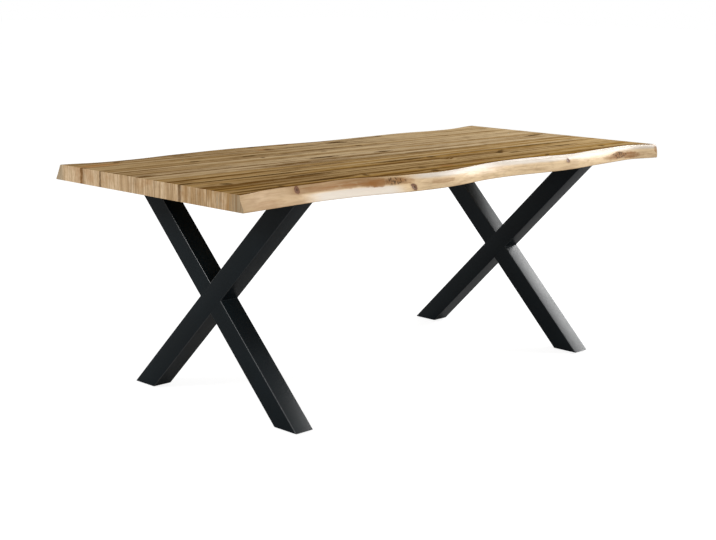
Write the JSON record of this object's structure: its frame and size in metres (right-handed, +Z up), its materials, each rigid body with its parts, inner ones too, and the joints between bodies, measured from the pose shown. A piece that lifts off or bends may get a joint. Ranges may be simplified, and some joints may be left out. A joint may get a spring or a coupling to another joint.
{
  "type": "dining table",
  "caption": "Long dining table: plank top of knotty oak with wavy natural front and rear edges, on crossed black square-tube leg frames with levelling glides.",
  "frame": {"origin": "on the floor, under the middle of the top's outline", "axes": "+X along the planks to the right end, +Y to the rear live edge, +Z up"},
  "size_m": [2, 0.9457, 0.75],
  "materials": {
    "oak": "oiled, knotty oak",
    "beech": "raw",
    "black_steel": "satin black powder coat",
    "zinc_steel": "zinc plated",
    "glide_plastic": "moulded"
  },
  "bodies": {
    "table": {"front_live_edge_plank": "oak", "front_inner_plank": "oak", "front_middle_plank": "oak", "centre_plank": "oak", "rear_middle_plank": "oak", "rear_inner_plank": "oak", "rear_live_edge_plank": "oak", "plank_biscuits": "beech", "threaded_inserts": "zinc_steel", "left_through_leg": "black_steel", "left_upper_half_leg": "black_steel", "left_lower_half_leg": "black_steel", "left_top_plate": "black_steel", "left_frame_bolts": "zinc_steel", "left_frame_washers": "zinc_steel", "left_front_foot_plate": "black_steel", "left_front_foot_bush": "zinc_steel", "left_rear_foot_plate": "black_steel", "left_rear_foot_bush": "zinc_steel", "right_through_leg": "black_steel", "right_upper_half_leg": "black_steel", "right_lower_half_leg": "black_steel", "right_top_plate": "black_steel", "right_frame_bolts": "zinc_steel", "right_frame_washers": "zinc_steel", "right_front_foot_plate": "black_steel", "right_front_foot_bush": "zinc_steel", "right_rear_foot_plate": "black_steel", "right_rear_foot_bush": "zinc_steel"},
    "left_front_glide": {"left_front_glide_disc": "glide_plastic", "left_front_glide_stem": "zinc_steel"},
    "left_rear_glide": {"left_rear_glide_disc": "glide_plastic", "left_rear_glide_stem": "zinc_steel"},
    "right_front_glide": {"right_front_glide_disc": "glide_plastic", "right_front_glide_stem": "zinc_steel"},
    "right_rear_glide": {"right_rear_glide_disc": "glide_plastic", "right_rear_glide_stem": "zinc_steel"}
  },
  "joints": [
    {"name": "left_front_glide_screw", "type": "slide", "parent": "table", "child": "left_front_glide", "axis": [0, 0, -1], "range_m": [0, 0.01]},
    {"name": "left_rear_glide_screw", "type": "slide", "parent": "table", "child": "left_rear_glide", "axis": [0, 0, -1], "range_m": [0, 0.01]},
    {"name": "right_front_glide_screw", "type": "slide", "parent": "table", "child": "right_front_glide", "axis": [0, 0, -1], "range_m": [0, 0.01]},
    {"name": "right_rear_glide_screw", "type": "slide", "parent": "table", "child": "right_rear_glide", "axis": [0, 0, -1], "range_m": [0, 0.01]}
  ]
}
